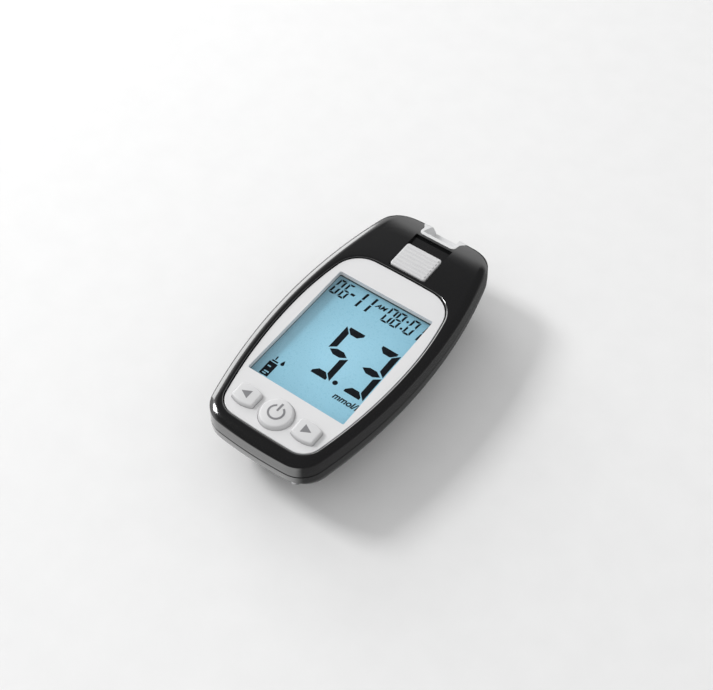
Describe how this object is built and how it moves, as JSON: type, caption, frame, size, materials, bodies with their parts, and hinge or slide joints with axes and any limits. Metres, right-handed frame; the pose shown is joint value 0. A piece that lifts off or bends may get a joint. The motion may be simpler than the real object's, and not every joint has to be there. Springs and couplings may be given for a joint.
{
  "type": "blood glucose meter",
  "caption": "Hand-held blood glucose meter: bowed black case, silver face plate, backlit display, push buttons, strip port with eject slider, cells under a rear door.",
  "frame": {"origin": "centre of the flat base, under the middle of the case", "axes": "+X to the user's right, +Y towards the strip port, +Z out of the display face"},
  "size_m": [0.0454, 0.09, 0.0219],
  "materials": {
    "black_gloss": "piano black, polished",
    "black_case": "black, semi-gloss",
    "face_silver": "satin pale silver",
    "clear_lens": "clear acrylic",
    "button_grey": "satin pale grey",
    "slider_silver": "satin pale grey, ribbed",
    "white_plastic": "moulded white",
    "port_white": "milky white",
    "steel": "plated",
    "black_insulator": "moulded black",
    "gold_contact": "gold plated",
    "board_green": "solder mask",
    "lcd": "pale blue backlit display",
    "light_guide": "light guide",
    "led_white": "moulded",
    "grey_elastomer": "striped elastomer",
    "cell_sleeve": "printed sleeve"
  },
  "bodies": {
    "case": {"front_cover": "black_gloss", "rear_case": "black_case", "face_plate": "face_silver", "display_lens": "clear_lens", "slider_return_spring": "steel", "strip_port_guide": "port_white", "strip_connector": "black_insulator", "strip_contacts": "gold_contact", "main_circuit_board": "board_green", "lcd_glass": "lcd", "backlight_panel": "light_guide", "backlight_leds": "led_white", "lcd_holder": "white_plastic", "zebra_connector": "grey_elastomer", "power_switch": "black_insulator", "left_switch": "black_insulator", "right_switch": "black_insulator", "beeper": "black_insulator", "main_chip": "black_insulator", "analog_chip": "black_insulator", "crystal_can": "steel", "battery_1": "cell_sleeve", "battery_2": "cell_sleeve", "battery_bridge_contact": "steel", "battery_spring_contact": "steel", "battery_flat_contact": "steel", "case_screws": "steel", "board_screws": "steel"},
    "eject_slider_body": {"eject_slider": "slider_silver", "eject_pusher": "white_plastic"},
    "battery_door_body": {"battery_door": "black_case"},
    "power_button_body": {"power_button": "button_grey", "power_switch_plunger": "white_plastic"},
    "left_button_body": {"left_button": "button_grey", "left_switch_plunger": "white_plastic"},
    "right_button_body": {"right_button": "button_grey", "right_switch_plunger": "white_plastic"}
  },
  "joints": [
    {"name": "power_button_press", "type": "slide", "parent": "case", "child": "power_button_body", "axis": [0, 0, -1], "range_m": [0, 0.0004], "stiffness_N_per_m": 1500, "springref_m": -0.0002},
    {"name": "left_button_press", "type": "slide", "parent": "case", "child": "left_button_body", "axis": [0, 0, -1], "range_m": [0, 0.0004], "stiffness_N_per_m": 1500, "springref_m": -0.0002},
    {"name": "right_button_press", "type": "slide", "parent": "case", "child": "right_button_body", "axis": [0, 0, -1], "range_m": [0, 0.0004], "stiffness_N_per_m": 1500, "springref_m": -0.0002},
    {"name": "eject_slide", "type": "slide", "parent": "case", "child": "eject_slider_body", "axis": [0, 1, 0], "range_m": [0, 0.0045], "stiffness_N_per_m": 120, "springref_m": -0.003, "deforming": ["slider_return_spring"]},
    {"name": "battery_door_hinge", "type": "hinge", "parent": "case", "child": "battery_door_body", "pos_m": [0, 0.01927, 0.00077], "axis": [1, 0, 0], "range_deg": [0, 60]}
  ]
}
